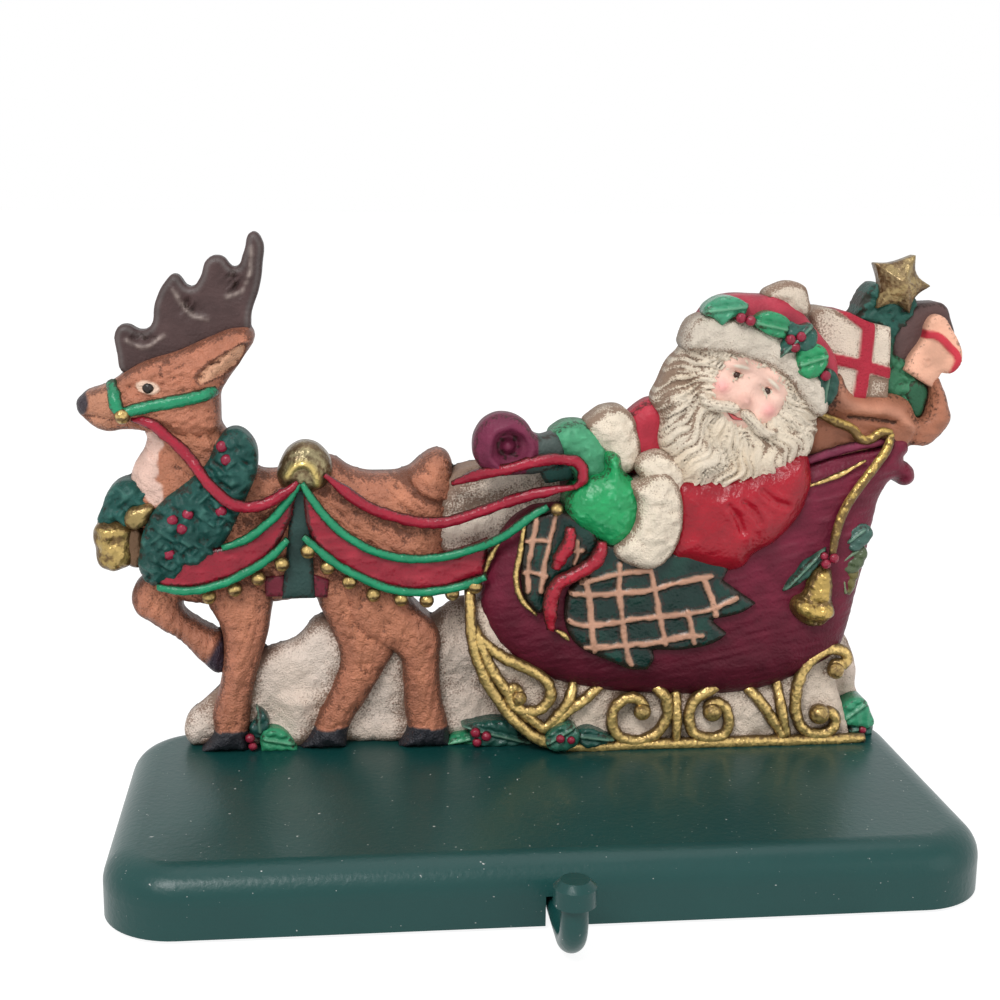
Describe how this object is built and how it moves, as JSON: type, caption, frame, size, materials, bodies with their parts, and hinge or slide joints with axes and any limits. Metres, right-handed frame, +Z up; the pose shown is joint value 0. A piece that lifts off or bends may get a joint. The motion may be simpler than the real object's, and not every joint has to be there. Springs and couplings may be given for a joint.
{
  "type": "mantel stocking holder",
  "caption": "Weighted mantel stocking holder: painted cast relief of a harnessed reindeer and laden sleigh on a hollow base, with a hook under its front edge.",
  "frame": {"origin": "on the mantel's top, in the middle of the whole part's width and depth", "axes": "+X to the right as seen from the room, +Y to the wall behind the mantel, +Z up"},
  "size_m": [0.2068, 0.107, 0.1393],
  "materials": {
    "relief_paint": "hand-painted in many colours, antiqued",
    "base_paint": "dark green semi-gloss enamel",
    "hook_paint": "dark green semi-gloss enamel",
    "screw_steel": "zinc plated",
    "pad_felt": "pressed felt"
  },
  "bodies": {
    "root": {"figure_casting": "relief_paint", "base_casting": "base_paint", "stocking_hook": "hook_paint", "figure_screws": "screw_steel", "hook_screws": "screw_steel", "base_pads": "pad_felt"}
  },
  "joints": []
}
